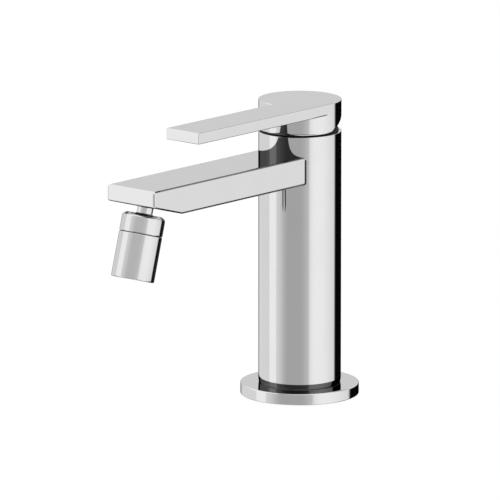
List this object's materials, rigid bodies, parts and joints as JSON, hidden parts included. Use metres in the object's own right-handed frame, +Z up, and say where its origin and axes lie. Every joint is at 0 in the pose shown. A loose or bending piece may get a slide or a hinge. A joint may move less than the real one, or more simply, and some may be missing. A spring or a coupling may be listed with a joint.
{
  "type": "bidet mixer",
  "caption": "Deck-mounted single-lever bidet mixer: round column on a flange, flush bar lever, flat spout and a ball-jointed nozzle, over a ceramic disc cartridge.",
  "frame": {"origin": "centre of the flange's underside, on the deck", "axes": "+Z up the column's axis, -Y along spout and lever towards the user, +X to the lever's flush side"},
  "size_m": [0.0644, 0.1798, 0.1627],
  "materials": {
    "chrome": "polished chrome plate",
    "raw_brass": "turned brass",
    "black_rubber": "moulded rubber",
    "cartridge_plastic": "moulded acetal",
    "ceramic": "lapped ceramic",
    "steel": "turned stainless steel",
    "black_plastic": "turned black acetal",
    "white_plastic": "moulded acetal"
  },
  "bodies": {
    "body_and_spout": {"base_flange": "chrome", "base_gasket": "black_rubber", "mixer_body": "chrome", "spout": "chrome", "spout_nipple": "raw_brass", "spout_o_ring": "black_rubber", "cartridge_base": "cartridge_plastic", "port_seals": "black_rubber", "fixed_disc": "ceramic", "cartridge_housing": "cartridge_plastic", "housing_o_ring": "black_rubber", "cartridge_nut": "raw_brass", "cover_ring": "black_plastic"},
    "turret": {"cartridge_rotor": "cartridge_plastic", "stem_pin": "steel"},
    "lever": {"handle": "chrome", "lever_stem": "steel", "handle_screw": "steel", "screw_plug": "chrome"},
    "sliding_disc": {"disc_carrier": "cartridge_plastic", "moving_disc": "ceramic"},
    "swivel_ball": {"ball_stem": "chrome", "stem_o_ring": "black_rubber"},
    "nozzle": {"nozzle_collar": "chrome", "nozzle_barrel": "chrome", "ball_seat": "white_plastic", "seat_spring": "black_rubber", "aerator_washer": "black_rubber", "aerator_diffuser": "white_plastic", "aerator_screens": "steel", "aerator_cage": "white_plastic"}
  },
  "joints": [
    {"name": "temperature_turn", "type": "hinge", "parent": "body_and_spout", "child": "turret", "pos_m": [0, 0, 0.1383], "axis": [0, 0, 1], "range_deg": [-45, 45]},
    {"name": "lever_lift", "type": "hinge", "parent": "turret", "child": "lever", "pos_m": [0, 0, 0.1383], "axis": [-1, 0, 0], "range_deg": [0, 22]},
    {"name": "disc_slide", "type": "slide", "parent": "turret", "child": "sliding_disc", "axis": [0, -1, 0], "range_m": [0, 0.00344]},
    {"name": "nozzle_swivel", "type": "hinge", "parent": "body_and_spout", "child": "swivel_ball", "pos_m": [0, -0.12867, 0.11279], "axis": [0, 0.2742, 0.9617], "continuous": true},
    {"name": "nozzle_tilt", "type": "hinge", "parent": "swivel_ball", "child": "nozzle", "pos_m": [0, -0.12867, 0.11279], "axis": [1, 0, 0], "range_deg": [-15, 15]}
  ],
  "couplings": [
    {"joint": "disc_slide", "follows": "lever_lift", "m_per_rad": 0.0089448}
  ]
}
